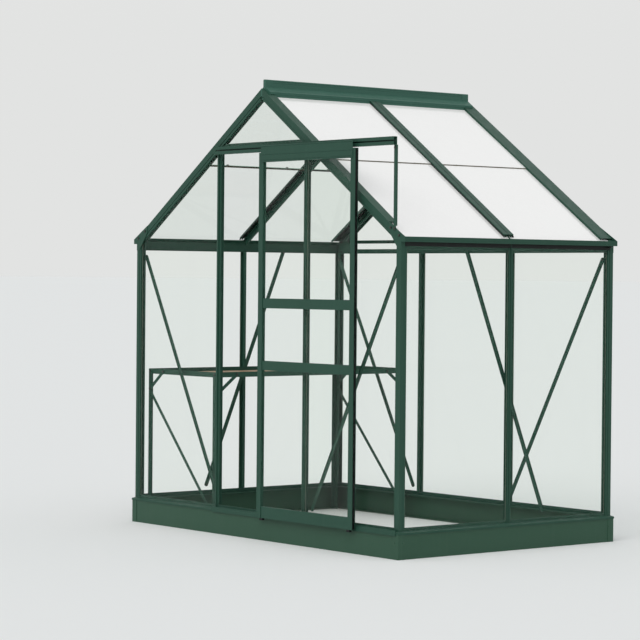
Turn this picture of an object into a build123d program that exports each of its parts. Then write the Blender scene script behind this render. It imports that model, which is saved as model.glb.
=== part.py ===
from build123d import *
from math import atan2, cos, degrees, hypot, sin, tan
import os

os.makedirs("parts", exist_ok=True)

# A small glass greenhouse on a folded steel plinth, with one sliding door in its front
# gable and a staging along its left wall. Origin: bottom centre of the frame, on the
# ground. The ridge runs along Y, the door gable faces -Y, +X is the side that the door
# slides towards. All lengths are in millimetres.

# Frame
frame_width = 1930.0          # across the gables, outside the corner posts
frame_length = 1260.0         # along the ridge, outside the corner posts
eaves_height = 1346.0         # ground to where the roof glass meets the wall plane
roof_rise = 663.0             # eaves to the apex of the roof glass
gable_bar_spacing = 634.0     # between the two inner bars of a gable
metal = 2.5                   # wall of the aluminium sections

# Plinth
plinth_height = 110.0
plinth_overhang = 8.0         # how far its face stands out from the frame
plinth_sheet = 2.0
plinth_flange = 38.0
plinth_corner_leg = 34.0      # legs of the corner angles outside the plinth

# Sill on the plinth
sill_upstand = 22.0           # strip behind the foot of the glass
sill_lip_reach = 12.0
sill_lip_drop = 6.0
sill_lip_height = 9.0         # where the sloping lip starts, over the plinth
sill_base = 30.0

# Glass and the sections that hold it
glass_thickness = 3.0
glass_recess = 3.0            # outer face of the glass behind the bar's nib
glass_play = 1.5              # between a pane's edge and the nib
bar_flange = 26.0
bar_depth = 30.0
bar_nib = 3.0
bar_bulb = 10.0
corner_nose = 20.0
corner_leg = 36.0
corner_bulb = 30.0
bulb_size = 6.0

# Eaves beam with its gutter
beam_height = 46.0            # below the point where wall and roof glass meet
gutter_reach = 24.0
gutter_floor_drop = 16.0      # floor of the gutter below the eaves height
gutter_lip = 22.0
beam_flange = 13.0
beam_seat = 19.0
roof_glass_overhang = 8.0     # past the wall plane, over the gutter

# Covers outside the roof glass, on the rafters and on the roof bars
cover_width = 45.0            # of a rafter's cover, from the gable plane
cover_rise = 10.0             # its top off the roof glass
cap_width = 56.0
cap_rise = 12.0               # top of a roof bar's cap off the roof glass
cap_legs = 33.0               # outside width of the two legs that press on the glass
cap_rim = 3.0
cap_foot_setback = 17.0       # of a cap's foot from the wall plane

# Ridge
ridge_rise = 53.0             # its top over the apex
ridge_reach = 42.0            # half its width
ridge_neck = 8.0
ridge_wing_lift = 20.0        # upper face of its wings off the roof glass
ridge_setback = 16.0          # of its ends from the gable planes
ridge_chamfer = 3.0
ridge_board = 4.0
ridge_board_drop = 38.0
roof_glass_gap = 8.0          # between the roof glass and the apex

# Gable header, tie, braces and eaves plates
header_lap = 10.0             # of the header's ends on the jambs, under the rafters
header_height = 33.0
header_depth = 24.0
tie_rise = 66.0               # of the two rails together
tie_lower_rail = 22.0
tie_upper_rail = 16.0
tie_depth = 20.0
tie_plate = 92.0              # end plate that joins the rails, from the corner's leg
brace_width = 20.0
brace_thickness = 4.0
brace_top_drop = 46.0         # upper end of a side brace below the eaves height
brace_foot_rise = 30.0        # lower end of a brace above the plinth
gable_brace_top_drop = 77.0   # the same on a gable
gable_brace_top_in = 34.0
gable_brace_foot_out = 30.0
side_brace_offset = 232.0     # of a side brace's ends from the side's middle bar
eaves_plate = 85.0
eaves_plate_sheet = 2.0

# Door track, its end support and the guide at the foot
track_drop = 15.0             # foot of the track below the header's foot
track_height = 35.0
track_depth = 20.0
track_end_gap = 33.0          # between its right end and the wall plane
track_slot = 6.5
track_slot_rise = 14.5        # lower edge of the slot above the track's foot
support_width = 14.0
support_leg = 7.0
support_foot_overlap = 8.0    # of the support's foot on the eaves plate
guide_bottom = 100.0
guide_height = 24.0
guide_end_gap = 7.0

# Sliding door
door_lap = 17.0               # of the closed door over each side of its opening
door_open = 370.0             # from the closed place to where it stands
door_bottom = 104.0
door_depth = 18.0
door_gap = 5.0                # between the door and what it passes
door_stile = 30.0
door_glass_bite = 8.0
door_header_below = 47.0      # foot of the door's header below the track's foot
door_header_above = 27.0      # its top above the track's foot
door_header_plate = 2.5
door_bottom_rail = 52.0
lower_rail_bottom = 763.0
lower_rail_height = 42.0
upper_rail_bottom = 1039.0
upper_rail_height = 44.0
roller_radius = 14.5
roller_width = 9.0
roller_inset = 95.0
axle_radius = 2.0
running_gap = 0.3
shoe_size = 20.0
shoe_height = 10.0

# Staging
staging_height = 735.0
staging_width = 540.0
staging_end_gap = 50.0        # from the gable plane to the staging
staging_rail = 24.0
staging_sheet = 2.0
slat_count = 8
slat_gap = 14.0
slat_thickness = 4.0
slat_end_gap = 2.0
knee_run = 120.0              # knee brace along the staging's rail
knee_drop = 85.0              # and down its leg
staging_brace_width = 16.0
staging_brace_top = 110.0     # upper end of a staging diagonal below the shelf
staging_brace_foot = 60.0     # its lower end above the ground

# Places worked out from the driving dimensions
half_width = frame_width / 2
half_length = frame_length / 2
roof_angle = atan2(roof_rise, half_width)
slope_length = hypot(roof_rise, half_width)
apex_height = eaves_height + roof_rise
seat = glass_recess + glass_thickness
sill_top = plinth_height + sill_upstand
sill_floor = plinth_height + metal
bar_x = gable_bar_spacing / 2
ridge_height = apex_height + ridge_rise
door_width = gable_bar_spacing + 2 * door_lap
door_left = door_open - door_width / 2
track_left = -bar_x - bar_flange / 2
track_right = half_width - track_end_gap
guide_right = half_width - guide_end_gap


def roof_height(x, lift=0.0):
    """Height of the roof glass's outer face at x, or of a plane lifted off it."""
    return apex_height - abs(x) * tan(roof_angle) + lift / cos(roof_angle)


def roof_plane(side, lift):
    """Plane of the right (1) or left (-1) slope, lifted off the glass, facing out."""
    origin = (side * half_width, 0, roof_height(half_width, lift))
    return Plane(origin=origin, x_dir=(0, 1, 0), z_dir=(side * sin(roof_angle), 0, cos(roof_angle)))


def slope_section(side, y):
    """Section plane across a slope at the eaves: local x along Y, local y off the roof."""
    up = (-side * cos(roof_angle), 0, sin(roof_angle))
    out = Vector(side * sin(roof_angle), 0, cos(roof_angle))
    x_dir = out.cross(Vector(*up))
    foot = Vector(side * half_width, y, eaves_height) + out * glass_recess
    return Plane(origin=foot, x_dir=x_dir, z_dir=up)


# Heights of the header, track and door that follow the roof
header_bottom = roof_height(bar_x - bar_flange / 2, glass_recess - corner_leg) - header_lap
track_bottom = header_bottom - track_drop
door_header_bottom = track_bottom - door_header_below
door_header_top = track_bottom + door_header_above


def bar_points():
    """Outline of the T-shaped glazing bar: local y = 0 at the tip of its outer nib."""
    right = [
        (bar_nib / 2, 0), (bar_nib / 2, -seat), (bar_flange / 2, -seat),
        (bar_flange / 2, -seat - metal), (bar_nib / 2, -seat - metal),
        (bar_nib / 2, -bar_depth + metal), (bar_bulb / 2, -bar_depth + metal),
        (bar_bulb / 2, -bar_depth),
    ]
    left = [(-x, y) for x, y in reversed(right)]
    return right + left


def corner_points(sign_x=1, sign_y=1):
    """Outline of the corner section: its nose at the origin, its legs towards the signs."""
    bulb_start = corner_bulb - bulb_size
    half = [
        (corner_nose, 0), (corner_nose, seat), (corner_leg, seat), (corner_leg, seat + metal),
        (corner_nose, seat + metal), (corner_nose, corner_nose - metal),
        (bulb_start, bulb_start - metal), (corner_bulb, bulb_start - metal),
    ]
    other = [(b, a) for a, b in reversed(half)]
    outline = [(0, 0)] + half + [(corner_bulb, corner_bulb)] + other
    return [(sign_x * a, sign_y * b) for a, b in outline]


def finish(part, name):
    """Name a finished piece and write it."""
    part.label = name
    export_step(part, f"parts/{name}.step")


# Plinth: folded channels with mitred ends, open towards the inside


def plinth_outline(reach):
    """Channel outline: local x outward from the frame's face, local y up."""
    inner = reach - plinth_flange
    return [
        (inner, 0), (reach, 0), (reach, plinth_height), (inner, plinth_height),
        (inner, plinth_height - plinth_sheet), (reach - plinth_sheet, plinth_height - plinth_sheet),
        (reach - plinth_sheet, plinth_sheet), (inner, plinth_sheet),
    ]


mitre_right = Plane(origin=(half_width, -half_length, 0), z_dir=(1, 1, 0))
mitre_left = Plane(origin=(-half_width, -half_length, 0), z_dir=(-1, 1, 0))
mitre_front = Plane(origin=(half_width, -half_length, 0), z_dir=(-1, -1, 0))
mitre_back = Plane(origin=(half_width, half_length, 0), z_dir=(-1, 1, 0))
rail_spare = 2 * (plinth_flange + plinth_overhang + sill_lip_reach)


def gable_rail(points):
    """Rail along the front gable from its outline, with mitred ends."""
    with BuildPart() as rail:
        with BuildSketch(Plane(origin=(0, -half_length, 0), x_dir=(0, -1, 0), z_dir=(-1, 0, 0)).offset(
                -(frame_width + rail_spare) / 2)):
            with BuildLine():
                Polyline(*points, close=True)
            make_face()
        extrude(amount=frame_width + rail_spare)
        split(bisect_by=mitre_right, keep=Keep.BOTTOM)
        split(bisect_by=mitre_left, keep=Keep.BOTTOM)
    return rail.part


def side_rail(points):
    """Rail along the right side from its outline, with mitred ends."""
    with BuildPart() as rail:
        with BuildSketch(Plane(origin=(half_width, 0, 0), x_dir=(1, 0, 0), z_dir=(0, -1, 0)).offset(
                -(frame_length + rail_spare) / 2)):
            with BuildLine():
                Polyline(*points, close=True)
            make_face()
        extrude(amount=frame_length + rail_spare)
        split(bisect_by=mitre_front, keep=Keep.BOTTOM)
        split(bisect_by=mitre_back, keep=Keep.BOTTOM)
    return rail.part


with BuildPart() as plinth_front:
    add(gable_rail(plinth_outline(plinth_overhang)))
finish(plinth_front.part, "plinth_front")

with BuildPart() as plinth_back:
    add(plinth_front.part.mirror(Plane.XZ))
finish(plinth_back.part, "plinth_back")

with BuildPart() as plinth_sides:
    add(side_rail(plinth_outline(plinth_overhang)))
    mirror(about=Plane.YZ)
finish(plinth_sides.part, "plinth_sides")

corner_out_x = half_width + plinth_overhang
corner_out_y = half_length + plinth_overhang
with BuildPart() as plinth_corners:
    with BuildSketch():
        with Locations((corner_out_x + plinth_sheet, -corner_out_y - plinth_sheet)):
            Rectangle(plinth_corner_leg, plinth_corner_leg, align=(Align.MAX, Align.MIN))
        with Locations((corner_out_x, -corner_out_y)):
            Rectangle(plinth_corner_leg, plinth_corner_leg, align=(Align.MAX, Align.MIN),
                      mode=Mode.SUBTRACT)
    extrude(amount=plinth_height - sill_lip_drop - running_gap)
    mirror(about=Plane.YZ)
    mirror(about=Plane.XZ)
finish(plinth_corners.part, "plinth_corners")


# Sill: a base on the plinth, an upstand behind the glass and a sloping outer lip
def sill_outline():
    """Sill outline: local x outward from the frame's face, local y up."""
    lip_inner = sill_lip_reach - metal
    drip = plinth_height - sill_lip_drop
    lip_top = plinth_height + sill_lip_height
    return [
        (-sill_base, plinth_height), (lip_inner, plinth_height), (lip_inner, drip),
        (sill_lip_reach, drip), (sill_lip_reach, plinth_height + metal), (-glass_recess / 2, lip_top),
        (-glass_recess, lip_top), (-glass_recess, sill_floor), (-seat, sill_floor),
        (-seat, sill_top), (-seat - metal, sill_top), (-seat - metal, sill_floor),
        (-sill_base, sill_floor),
    ]


with BuildPart() as sill_front:
    add(gable_rail(sill_outline()))
finish(sill_front.part, "sill_front")

with BuildPart() as sill_back:
    add(sill_front.part.mirror(Plane.XZ))
finish(sill_back.part, "sill_back")

with BuildPart() as sill_sides:
    add(side_rail(sill_outline()))
    mirror(about=Plane.YZ)
finish(sill_sides.part, "sill_sides")

# Corner posts: stand on the sill's upstand, run up to the roof and carry rafters and eaves
lip_top_height = plinth_height + sill_lip_height
nose_top = roof_plane(1, glass_recess)
glass_under = roof_plane(1, -glass_thickness)
with BuildPart() as corner_posts_front:
    with BuildSketch(Plane(origin=(half_width, -half_length, sill_top))):
        with BuildLine():
            Polyline(*corner_points(-1, 1), close=True)
        make_face()
    extrude(amount=apex_height - sill_top)
    with BuildSketch(Plane(origin=(half_width, -half_length, lip_top_height))):
        Rectangle(corner_nose, corner_nose, align=(Align.MAX, Align.MIN))
        with Locations((-seat, seat)):
            Rectangle(corner_nose, corner_nose, align=(Align.MAX, Align.MIN), mode=Mode.SUBTRACT)
    extrude(amount=sill_top - lip_top_height)
    split(bisect_by=nose_top, keep=Keep.BOTTOM)
    with BuildSketch(glass_under):
        with Locations((-half_length + corner_nose, 0)):
            Rectangle(corner_leg, 2 * slope_length, align=(Align.MIN, Align.CENTER))
    extrude(amount=2 * seat, mode=Mode.SUBTRACT)
    mirror(about=Plane.YZ)
finish(corner_posts_front.part, "corner_posts_front")

with BuildPart() as corner_posts_back:
    add(corner_posts_front.part.mirror(Plane.XZ))
finish(corner_posts_back.part, "corner_posts_back")

# Eaves beams: web behind the wall glass, seat under the roof glass, gutter outside
beam_bottom = eaves_height - beam_height
gutter_floor = eaves_height - gutter_floor_drop
seat_lift = -glass_thickness - metal
beam_between_posts = frame_length - 2 * corner_leg


def beam_seat_height(x):
    """Height of the seat under the roof bars, x outward from the wall plane."""
    return roof_height(half_width + x, seat_lift)


with BuildPart() as eaves_right:
    with BuildSketch(Plane(origin=(half_width, 0, 0), x_dir=(1, 0, 0), z_dir=(0, -1, 0)).offset(
            -beam_between_posts / 2)):
        seat_end = -seat - metal - beam_seat
        with BuildLine():
            Polyline(
                (-seat - metal - beam_flange, beam_bottom), (-seat, beam_bottom),
                (-seat, gutter_floor), (gutter_reach, gutter_floor),
                (gutter_reach, gutter_floor + gutter_lip),
                (gutter_reach - metal, gutter_floor + gutter_lip),
                (gutter_reach - metal, gutter_floor + metal), (-seat, gutter_floor + metal),
                (-seat, beam_seat_height(-seat)), (seat_end, beam_seat_height(seat_end)),
                (seat_end, beam_seat_height(seat_end) - metal),
                (-seat - metal, beam_seat_height(-seat - metal) - metal),
                (-seat - metal, beam_bottom + metal),
                (-seat - metal - beam_flange, beam_bottom + metal), close=True)
        make_face()
    extrude(amount=beam_between_posts)
    with BuildSketch(Plane(origin=(half_width, 0, 0), x_dir=(1, 0, 0), z_dir=(0, -1, 0)).offset(
            -half_length)):
        with BuildLine():
            Polyline(
                (0, gutter_floor), (gutter_reach, gutter_floor),
                (gutter_reach, gutter_floor + gutter_lip),
                (gutter_reach - metal, gutter_floor + gutter_lip),
                (gutter_reach - metal, gutter_floor + metal), (0, gutter_floor + metal), close=True)
        make_face()
    extrude(amount=frame_length)
finish(eaves_right.part, "eaves_right")

with BuildPart() as eaves_left:
    add(eaves_right.part.mirror(Plane.YZ))
finish(eaves_left.part, "eaves_left")

# Side middle bars: stand on the sill, stop under the eaves beam
with BuildPart() as side_bars:
    with BuildSketch(Plane(origin=(half_width, 0, sill_top), x_dir=(0, -1, 0), z_dir=(0, 0, 1))):
        with BuildLine():
            Polyline(*bar_points(), close=True)
        make_face()
    extrude(amount=beam_bottom - sill_top)
    with BuildSketch(Plane(origin=(half_width, 0, lip_top_height))):
        Rectangle(seat, bar_nib, align=(Align.MAX, Align.CENTER))
    extrude(amount=gutter_floor - lip_top_height)
    mirror(about=Plane.YZ)
finish(side_bars.part, "side_bars")

# Gable rafters: the corner section laid along the slope, from post to ridge board, with a
# cover over the edge of the roof glass
rafter_cut = Plane(origin=(ridge_board, 0, 0), z_dir=(1, 0, 0))
rafter_foot = Plane(origin=(half_width - corner_leg, 0, 0), z_dir=(1, 0, 0))
cover_foot = Plane(origin=(half_width - eaves_plate, 0, 0), z_dir=(1, 0, 0))
lip_bottom = running_gap - glass_recess
cover_top = cover_rise - glass_recess
with BuildPart() as rafter_covers:
    with BuildSketch(slope_section(1, -half_length)):
        Rectangle(corner_nose, cover_top, align=(Align.MAX, Align.MIN))
        with Locations((0, cover_top)):
            Rectangle(cover_width, metal, align=(Align.MAX, Align.MAX))
        with Locations((metal - cover_width, lip_bottom)):
            Rectangle(metal, cover_top - lip_bottom, align=(Align.MAX, Align.MIN))
    extrude(amount=slope_length + corner_leg)
    split(bisect_by=rafter_cut, keep=Keep.TOP)
    split(bisect_by=cover_foot, keep=Keep.BOTTOM)
with BuildPart() as rafters_front:
    with BuildSketch(slope_section(1, -half_length)):
        with BuildLine():
            Polyline(*corner_points(-1, -1), close=True)
        make_face()
    extrude(amount=slope_length + corner_leg)
    split(bisect_by=rafter_cut, keep=Keep.TOP)
    split(bisect_by=rafter_foot, keep=Keep.BOTTOM)
    add(rafter_covers.part)
    mirror(about=Plane.YZ)
finish(rafters_front.part, "rafters_front")

with BuildPart() as rafters_back:
    add(rafters_front.part.mirror(Plane.XZ))
finish(rafters_back.part, "rafters_back")

# Roof bars: the glazing bar on each slope, its flange resting on the eaves beam's seat, with
# a cap outside whose legs press on the glass
stem_setback = seat + metal + beam_seat + metal
stem_foot = Plane(origin=(half_width - stem_setback, 0, 0), z_dir=(1, 0, 0))
bar_foot = Plane(origin=(half_width - metal, 0, 0), z_dir=(1, 0, 0))
cap_foot = Plane(origin=(half_width - cap_foot_setback, 0, 0), z_dir=(1, 0, 0))
cap_top = cap_rise - glass_recess
with BuildPart() as bar_caps:
    with BuildSketch(slope_section(1, 0)):
        with Locations((0, cap_top)):
            Rectangle(cap_width, metal + cap_rim, align=(Align.CENTER, Align.MAX))
            Rectangle(cap_width - 2 * metal, 2 * (metal + cap_rim), mode=Mode.SUBTRACT)
            Rectangle(cap_width, metal, align=(Align.CENTER, Align.MAX))
        with Locations((0, lip_bottom)):
            Rectangle(cap_legs, cap_top - lip_bottom, align=(Align.CENTER, Align.MIN))
            Rectangle(cap_legs - 2 * metal, cap_top - metal - lip_bottom,
                      align=(Align.CENTER, Align.MIN), mode=Mode.SUBTRACT)
        Rectangle(bar_nib, cap_top, align=(Align.CENTER, Align.MIN))
    extrude(amount=slope_length + bar_depth)
    split(bisect_by=rafter_cut, keep=Keep.TOP)
    split(bisect_by=cap_foot, keep=Keep.BOTTOM)
with BuildPart() as roof_bars:
    with BuildSketch(slope_section(1, 0)):
        with BuildLine():
            Polyline(*bar_points(), close=True)
        make_face()
    extrude(amount=slope_length + bar_depth)
    split(bisect_by=rafter_cut, keep=Keep.TOP)
    split(bisect_by=stem_foot, keep=Keep.BOTTOM)
    with BuildSketch(slope_section(1, 0)):
        Rectangle(bar_nib, seat, align=(Align.CENTER, Align.MAX))
        with Locations((0, -seat)):
            Rectangle(bar_flange, metal, align=(Align.CENTER, Align.MAX))
    extrude(amount=2 * stem_setback / cos(roof_angle))
    split(bisect_by=bar_foot, keep=Keep.BOTTOM)
    add(bar_caps.part)
    mirror(about=Plane.YZ)
finish(roof_bars.part, "roof_bars")

# Ridge: a folded cover over the caps, open below and closed at its ends, carried by a web on
# the board that stands between the rafters
ridge_length = frame_length - 2 * ridge_setback
board_foot = roof_height(ridge_board, glass_recess - corner_nose)


def ridge_outline(inset, foot_lift):
    """Outline of the ridge cover, inset by its wall, with its foot lifted off the glass."""
    reach = ridge_reach - inset
    neck = ridge_neck - inset
    top = ridge_height - inset
    right = [
        (reach, roof_height(reach, foot_lift)), (reach, roof_height(reach, ridge_wing_lift - inset)),
        (neck, roof_height(neck, ridge_wing_lift - inset)), (neck, top - ridge_chamfer),
        (neck - ridge_chamfer, top),
    ]
    left = [(-x, z) for x, z in reversed(right)]
    return right + left + [(0, roof_height(0, foot_lift))]


with BuildPart() as ridge:
    with BuildSketch(Plane.XZ.offset(-ridge_length / 2)):
        with BuildLine():
            Polyline(*ridge_outline(0, cap_rise), close=True)
        make_face()
        with BuildLine():
            Polyline(*ridge_outline(metal, cap_rise), close=True)
        make_face(mode=Mode.SUBTRACT)
        with Locations((0, ridge_height)):
            Rectangle(metal, ridge_rise, align=(Align.CENTER, Align.MAX))
    extrude(amount=ridge_length)
    with BuildSketch(Plane.XZ.offset(-ridge_length / 2), Plane.XZ.offset(ridge_length / 2 - metal)):
        with BuildLine():
            Polyline(*ridge_outline(0, cover_rise), close=True)
        make_face()
    extrude(amount=metal)
    with BuildSketch(Plane.XZ.offset(-half_length)):
        with BuildLine():
            Polyline(
                (-ridge_board, board_foot), (ridge_board, board_foot),
                (ridge_board, roof_height(ridge_board, cover_rise)), (0, roof_height(0, cover_rise)),
                (-ridge_board, roof_height(ridge_board, cover_rise)), close=True,
            )
        make_face()
    extrude(amount=frame_length)
    with BuildSketch(Plane.XZ.offset(-half_length + seat)):
        with Locations((0, apex_height)):
            Rectangle(2 * ridge_board, ridge_board_drop, align=(Align.CENTER, Align.MAX))
    extrude(amount=frame_length - 2 * seat)
finish(ridge.part, "ridge")

# Door jambs and back bars: glazing bars from the sill to the rafters
leg_under = roof_plane(1, glass_recess - corner_leg)
nose_under = roof_plane(1, glass_recess - corner_nose)
with BuildPart() as jamb_bars:
    with BuildSketch(Plane(origin=(bar_x, -half_length, sill_top), x_dir=(-1, 0, 0), z_dir=(0, 0, 1))):
        with BuildLine():
            Polyline(*bar_points(), close=True)
        make_face()
    extrude(amount=apex_height - sill_top)
    split(bisect_by=leg_under, keep=Keep.BOTTOM)
    mirror(about=Plane.YZ)
with BuildPart() as jamb_nibs:
    with BuildSketch(Plane(origin=(bar_x, -half_length, lip_top_height))):
        Rectangle(bar_nib, seat, align=(Align.CENTER, Align.MIN))
    extrude(amount=apex_height - lip_top_height)
    split(bisect_by=nose_under, keep=Keep.BOTTOM)
    mirror(about=Plane.YZ)
with BuildPart() as door_jambs:
    add(jamb_bars.part)
    add(jamb_nibs.part)
finish(door_jambs.part, "door_jambs")

with BuildPart() as back_bars:
    add(door_jambs.part.mirror(Plane.XZ))
finish(back_bars.part, "back_bars")

# Header: the angle across the door gable that stiffens it behind the track
with BuildPart() as gable_header:
    with BuildSketch(Plane(origin=(0, -half_length + seat, header_bottom), x_dir=(0, 1, 0),
                           z_dir=(1, 0, 0)).offset(-bar_x + bar_flange / 2)):
        Rectangle(metal, header_height, align=(Align.MIN, Align.MIN))
        with Locations((0, header_height)):
            Rectangle(header_depth, metal, align=(Align.MIN, Align.MAX))
    extrude(amount=gable_bar_spacing - bar_flange)
    split(bisect_by=leg_under, keep=Keep.BOTTOM)
    split(bisect_by=roof_plane(-1, glass_recess - corner_leg), keep=Keep.BOTTOM)
finish(gable_header.part, "gable_header")

# Back tie: two angles across the back gable at the eaves, joined by a plate at each end
tie_bottom = beam_bottom
tie_face = half_length - bar_depth
tie_reach = half_width - corner_leg
tie_plane = Plane(origin=(0, tie_face, tie_bottom), x_dir=(0, -1, 0), z_dir=(-1, 0, 0))
with BuildPart() as back_tie:
    with BuildSketch(tie_plane.offset(-tie_reach)):
        Rectangle(metal, tie_lower_rail, align=(Align.MIN, Align.MIN))
        Rectangle(tie_depth, metal, align=(Align.MIN, Align.MIN))
        with Locations((0, tie_rise)):
            Rectangle(metal, tie_upper_rail, align=(Align.MIN, Align.MAX))
            Rectangle(tie_depth, metal, align=(Align.MIN, Align.MAX))
    extrude(amount=2 * tie_reach)
    with BuildSketch(tie_plane.offset(-tie_reach), tie_plane.offset(tie_reach - tie_plate)):
        Rectangle(metal, tie_rise, align=(Align.MIN, Align.MIN))
    extrude(amount=tie_plate)
    split(bisect_by=roof_plane(1, -glass_thickness - metal - running_gap), keep=Keep.BOTTOM)
    split(bisect_by=roof_plane(-1, -glass_thickness - metal - running_gap), keep=Keep.BOTTOM)
finish(back_tie.part, "back_tie")


# Braces: shallow channels bolted inside the bars, from the eaves down to the sill
def brace_between(plane, start, end, width, thickness):
    """Flat brace on a wall plane from start to end, centred on that line."""
    run = hypot(end[0] - start[0], end[1] - start[1])
    turn = degrees(atan2(end[1] - start[1], end[0] - start[0]))
    middle = ((start[0] + end[0]) / 2, (start[1] + end[1]) / 2)
    with BuildPart() as brace:
        with BuildSketch(plane):
            with Locations(Location((middle[0], middle[1], 0), (0, 0, turn))):
                SlotOverall(run + width, width)
        extrude(amount=thickness)
    return brace.part


brace_top = eaves_height - brace_top_drop
brace_foot = sill_top + brace_foot_rise
gable_brace_plane = Plane(origin=(0, -half_length + bar_depth, 0), x_dir=(1, 0, 0), z_dir=(0, -1, 0))
with BuildPart() as gable_braces:
    add(brace_between(gable_brace_plane.offset(-brace_thickness),
                      (half_width - gable_brace_top_in, eaves_height - gable_brace_top_drop),
                      (bar_x + gable_brace_foot_out, brace_foot), brace_width, brace_thickness))
    mirror(about=Plane.YZ)
    mirror(about=Plane.XZ)
finish(gable_braces.part, "gable_braces")

side_brace_plane = Plane(origin=(half_width - bar_depth, 0, 0), x_dir=(0, 1, 0), z_dir=(1, 0, 0))
with BuildPart() as side_braces:
    add(brace_between(side_brace_plane.offset(-brace_thickness), (-side_brace_offset, brace_top),
                      (side_brace_offset, brace_foot), brace_width, brace_thickness))
    add(brace_between(side_brace_plane.offset(-brace_thickness), (-side_brace_offset, brace_top),
                      (side_brace_offset, brace_foot), brace_width, brace_thickness).rotate(Axis.Z, 180))
finish(side_braces.part, "side_braces")

# Eaves plates: joint plates on the gable faces where post, rafter and gutter meet
plate_inner = half_width - eaves_plate
plate_slope = ((roof_height(plate_inner, cover_rise) - gutter_floor - gutter_lip)
               / (eaves_plate + gutter_reach))


def eaves_plate_top(x):
    """Height of the plate's upper edge, from the rafter's cover down to the gutter's lip."""
    return gutter_floor + gutter_lip + plate_slope * (half_width + gutter_reach - x)


with BuildPart() as eaves_plates:
    with BuildSketch(Plane.XZ.offset(half_length)):
        with BuildLine():
            Polyline(
                (half_width + gutter_reach, gutter_floor),
                (half_width + gutter_reach, gutter_floor + gutter_lip),
                (plate_inner, eaves_plate_top(plate_inner)),
                (plate_inner, roof_height(plate_inner, glass_recess - corner_nose)),
                (half_width - corner_nose, beam_bottom), (half_width, beam_bottom),
                (half_width, gutter_floor), close=True)
        make_face()
    extrude(amount=eaves_plate_sheet)
    mirror(about=Plane.YZ)
    mirror(about=Plane.XZ)
finish(eaves_plates.part, "eaves_plates")

# Door track: a slotted channel across the gable, its end support and the foot guide
with BuildPart() as door_track:
    with BuildSketch(Plane(origin=(track_right, -half_length, track_bottom), x_dir=(0, -1, 0),
                           z_dir=(-1, 0, 0))):
        Rectangle(track_depth, track_height, align=(Align.MIN, Align.MIN))
        with Locations((metal, metal)):
            Rectangle(track_depth - 2 * metal, track_height - 2 * metal,
                      align=(Align.MIN, Align.MIN), mode=Mode.SUBTRACT)
        with Locations((track_depth / 2, track_slot_rise)):
            Rectangle(track_depth, track_slot, align=(Align.MIN, Align.MIN), mode=Mode.SUBTRACT)
    extrude(amount=track_right - track_left)
finish(door_track.part, "door_track")

support_right = track_right
support_foot = eaves_plate_top(support_right) - support_foot_overlap
support_clear = eaves_plate_top(support_right - support_width) + metal
with BuildPart() as track_support:
    with BuildSketch(Plane.XY.offset(support_foot)):
        with Locations((support_right, -half_length - eaves_plate_sheet)):
            Rectangle(support_width, metal, align=(Align.MAX, Align.MAX))
    extrude(amount=track_bottom - support_foot)
    with BuildSketch(Plane.XY.offset(support_clear)):
        with Locations((support_right, -half_length - eaves_plate_sheet)):
            Rectangle(metal, support_leg, align=(Align.MAX, Align.MIN))
    extrude(amount=track_bottom - support_clear)
finish(track_support.part, "track_support")

guide_face = half_length + sill_lip_reach
with BuildPart() as door_guide:
    with BuildSketch(Plane(origin=(guide_right, -guide_face, guide_bottom), x_dir=(0, -1, 0),
                           z_dir=(-1, 0, 0))):
        Rectangle(metal, guide_height, align=(Align.MIN, Align.MIN))
    extrude(amount=guide_right - track_left)
finish(door_guide.part, "door_guide")

# Glass: one sheet in each bay, lying on the seats of its bars
pane_edge = bar_nib / 2 + glass_play
nose_edge = corner_nose + glass_play
glass_foot = sill_floor
wall_glass_top = gutter_floor - glass_play
side_glass_plane = Plane(origin=(half_width - seat, 0, 0), x_dir=(0, 1, 0), z_dir=(1, 0, 0))
bay_end = half_length - nose_edge


def rectangle_between(low_x, high_x, low_y, high_y):
    """Rectangle between two corners of the current sketch."""
    with Locations((low_x, low_y)):
        Rectangle(high_x - low_x, high_y - low_y, align=(Align.MIN, Align.MIN))


with BuildPart() as glass_right:
    with BuildSketch(side_glass_plane):
        rectangle_between(-bay_end, -pane_edge, glass_foot, wall_glass_top)
        rectangle_between(pane_edge, bay_end, glass_foot, wall_glass_top)
    extrude(amount=glass_thickness)
finish(glass_right.part, "glass_right")

with BuildPart() as glass_left:
    add(glass_right.part.mirror(Plane.YZ))
finish(glass_left.part, "glass_left")

gable_glass_plane = Plane(origin=(0, -half_length + seat, 0), x_dir=(1, 0, 0), z_dir=(0, -1, 0))
gable_edge_lift = glass_recess - nose_edge
glass_outer = half_width - nose_edge
glass_inner = bar_x + pane_edge
glass_centre = bar_x - pane_edge


def gable_side_pane():
    """Outer bay of a gable, under the rafter."""
    Polygon((glass_inner, glass_foot), (glass_outer, glass_foot),
            (glass_outer, roof_height(glass_outer, gable_edge_lift)),
            (glass_inner, roof_height(glass_inner, gable_edge_lift)), align=None)


def gable_centre_pane(foot):
    """Middle bay of a gable, up to the ridge."""
    Polygon((-glass_centre, foot), (glass_centre, foot),
            (glass_centre, roof_height(glass_centre, gable_edge_lift)),
            (ridge_board, roof_height(ridge_board, gable_edge_lift)),
            (-ridge_board, roof_height(ridge_board, gable_edge_lift)),
            (-glass_centre, roof_height(glass_centre, gable_edge_lift)), align=None)


with BuildPart() as glass_front:
    with BuildSketch(gable_glass_plane):
        gable_side_pane()
        mirror(about=Plane.YZ)
        gable_centre_pane(header_bottom + glass_play)
    extrude(amount=glass_thickness)
finish(glass_front.part, "glass_front")

with BuildPart() as glass_back:
    with BuildSketch(gable_glass_plane):
        gable_side_pane()
        mirror(about=Plane.YZ)
        gable_centre_pane(glass_foot)
    extrude(amount=glass_thickness)
    mirror(about=Plane.XZ, mode=Mode.REPLACE)
finish(glass_back.part, "glass_back")

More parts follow.
